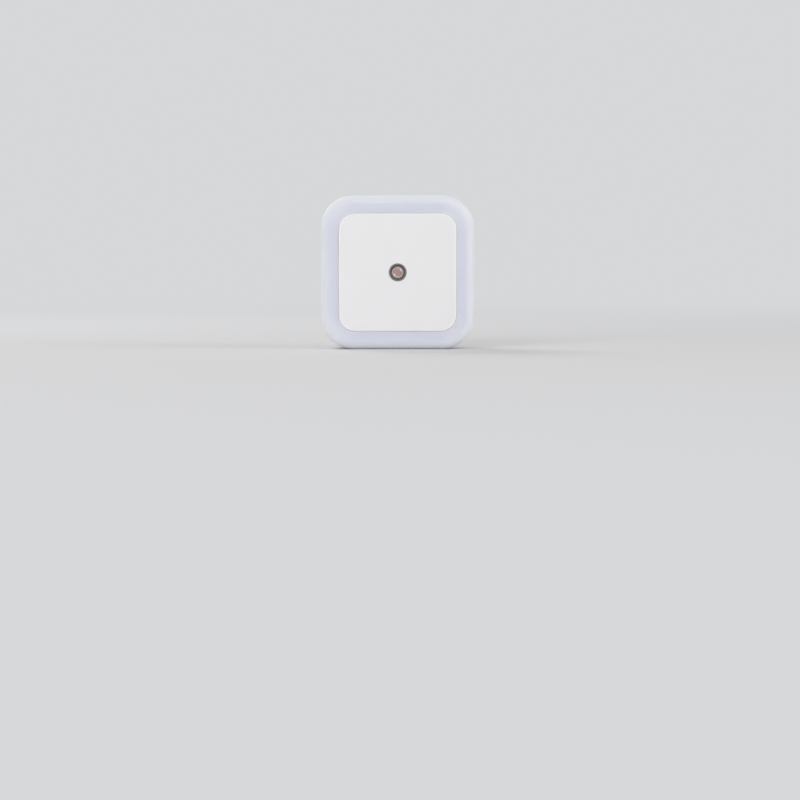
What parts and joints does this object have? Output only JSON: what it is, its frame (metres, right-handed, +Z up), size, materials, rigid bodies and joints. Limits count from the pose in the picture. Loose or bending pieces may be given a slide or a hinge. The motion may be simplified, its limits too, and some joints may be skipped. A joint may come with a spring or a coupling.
{
  "type": "plug-in night light",
  "caption": "Square wall-socket night light: a milky rounded diffuser frames a flat white cover with a dusk sensor in its middle; a flat round-pin plug boss stands out behind.",
  "frame": {"origin": "middle of the plug boss's engagement face, halfway between the two pins", "axes": "+Y along the pins into the wall, +Z up, +X to the right of someone who faces the lit front; the front faces -Y"},
  "size_m": [0.065, 0.0614, 0.065],
  "materials": {
    "cover_plastic": "fine satin texture",
    "diffuser_plastic": "milky, lets light through, satin",
    "housing_plastic": "satin",
    "plug_plastic": "satin",
    "plated_brass": "nickel-plated",
    "sleeve_plastic": "satin",
    "live_insulation": "soft",
    "neutral_insulation": "soft",
    "board_laminate": "lacquered",
    "screw_steel": "zinc-plated",
    "shroud_plastic": "satin",
    "photocell_epoxy": "clear coat over ceramic",
    "led_package": "matte",
    "film_case": "glossy",
    "can_sleeve": "glossy",
    "black_epoxy": "matte",
    "resistor_body": "lacquered",
    "diode_glass": "glossy"
  },
  "bodies": {
    "root": {"front_cover": "cover_plastic", "diffuser": "diffuser_plastic", "rear_housing": "housing_plastic", "plug_body": "plug_plastic", "live_pin": "plated_brass", "neutral_pin": "plated_brass", "live_pin_sleeve": "sleeve_plastic", "neutral_pin_sleeve": "sleeve_plastic", "live_lead": "live_insulation", "neutral_lead": "neutral_insulation", "circuit_board": "board_laminate", "board_screws": "screw_steel", "photoresistor": "photocell_epoxy", "sensor_shroud": "shroud_plastic", "led_top": "led_package", "led_bottom": "led_package", "led_left": "led_package", "led_right": "led_package", "film_capacitor": "film_case", "electrolytic_capacitor": "can_sleeve", "bridge_rectifier": "black_epoxy", "fusible_resistor": "resistor_body", "bleed_resistor": "resistor_body", "zener_diode": "diode_glass", "transistor": "black_epoxy", "sensor_resistor": "black_epoxy", "led_resistor": "black_epoxy"}
  },
  "joints": []
}
